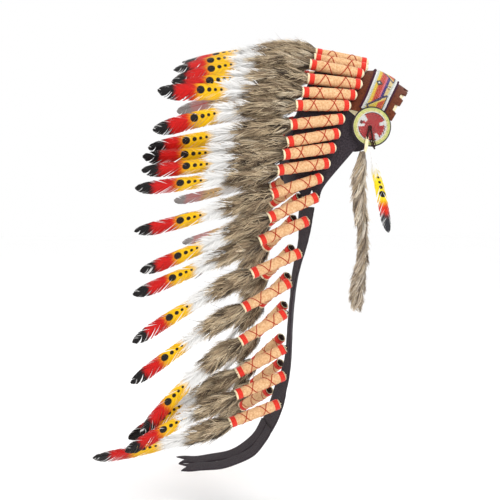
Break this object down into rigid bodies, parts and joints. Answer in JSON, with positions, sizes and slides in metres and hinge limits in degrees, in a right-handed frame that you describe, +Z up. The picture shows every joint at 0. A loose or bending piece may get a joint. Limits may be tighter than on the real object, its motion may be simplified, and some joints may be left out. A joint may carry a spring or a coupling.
{
  "type": "feathered headdress",
  "caption": "Feathered headdress: beaded brow band and felt crown with a flared ring of wrapped plumes that runs on down a felt trailer.",
  "frame": {"origin": "middle of the head opening, where the headdress sits on a head; it is held there, not stood on anything", "axes": "+Z up, the wearer faces -Y, +X is the wearer's left"},
  "size_m": [0.5162, 0.6161, 0.8839],
  "materials": {
    "felt_wrap_plume": "peach felt wrap, red thread bands, fur collar and painted vane",
    "suede": "brushed suede",
    "cream_felt": "pressed felt",
    "seed_beads": "opaque glossy seed beads",
    "edge_cord": "twisted dark purple cord",
    "black_felt": "pressed black felt",
    "rosette_beads": "opaque glossy seed beads",
    "brown_tie": "waxed lace",
    "grey_fur": "soft grey-brown fur",
    "painted_feather": "painted feather, white, yellow, red and black"
  },
  "bodies": {
    "root": {"plume_center": "felt_wrap_plume", "plume_right_01": "felt_wrap_plume", "plume_right_02": "felt_wrap_plume", "plume_right_03": "felt_wrap_plume", "plume_right_04": "felt_wrap_plume", "plume_right_05": "felt_wrap_plume", "plume_right_06": "felt_wrap_plume", "plume_right_07": "felt_wrap_plume", "plume_right_08": "felt_wrap_plume", "plume_right_09": "felt_wrap_plume", "plume_right_10": "felt_wrap_plume", "plume_right_11": "felt_wrap_plume", "plume_right_12": "felt_wrap_plume", "plume_right_13": "felt_wrap_plume", "plume_right_14": "felt_wrap_plume", "plume_right_15": "felt_wrap_plume", "plume_right_16": "felt_wrap_plume", "plume_right_17": "felt_wrap_plume", "plume_right_18": "felt_wrap_plume", "plume_left_01": "felt_wrap_plume", "plume_left_02": "felt_wrap_plume", "plume_left_03": "felt_wrap_plume", "plume_left_04": "felt_wrap_plume", "plume_left_05": "felt_wrap_plume", "plume_left_06": "felt_wrap_plume", "plume_left_07": "felt_wrap_plume", "plume_left_08": "felt_wrap_plume", "plume_left_09": "felt_wrap_plume", "plume_left_10": "felt_wrap_plume", "plume_left_11": "felt_wrap_plume", "plume_left_12": "felt_wrap_plume", "plume_left_13": "felt_wrap_plume", "plume_left_14": "felt_wrap_plume", "plume_left_15": "felt_wrap_plume", "plume_left_16": "felt_wrap_plume", "plume_left_17": "felt_wrap_plume", "plume_left_18": "felt_wrap_plume", "headband": "suede", "headband_lining": "cream_felt", "bead_strip": "seed_beads", "edge_cord_rear": "edge_cord", "edge_cord_front": "edge_cord", "felt_crown": "black_felt", "skull_cap": "black_felt", "trailer_panel": "black_felt", "trailer_tail_right": "black_felt", "trailer_tail_left": "black_felt", "rosette_backing_right": "black_felt", "rosette_backing_left": "black_felt", "rosette_face_right": "rosette_beads", "rosette_face_left": "rosette_beads", "rosette_lace_right": "brown_tie", "tail_thong_right": "cream_felt", "fur_tail_right": "grey_fur", "drop_feather_right": "painted_feather"}
  },
  "joints": []
}
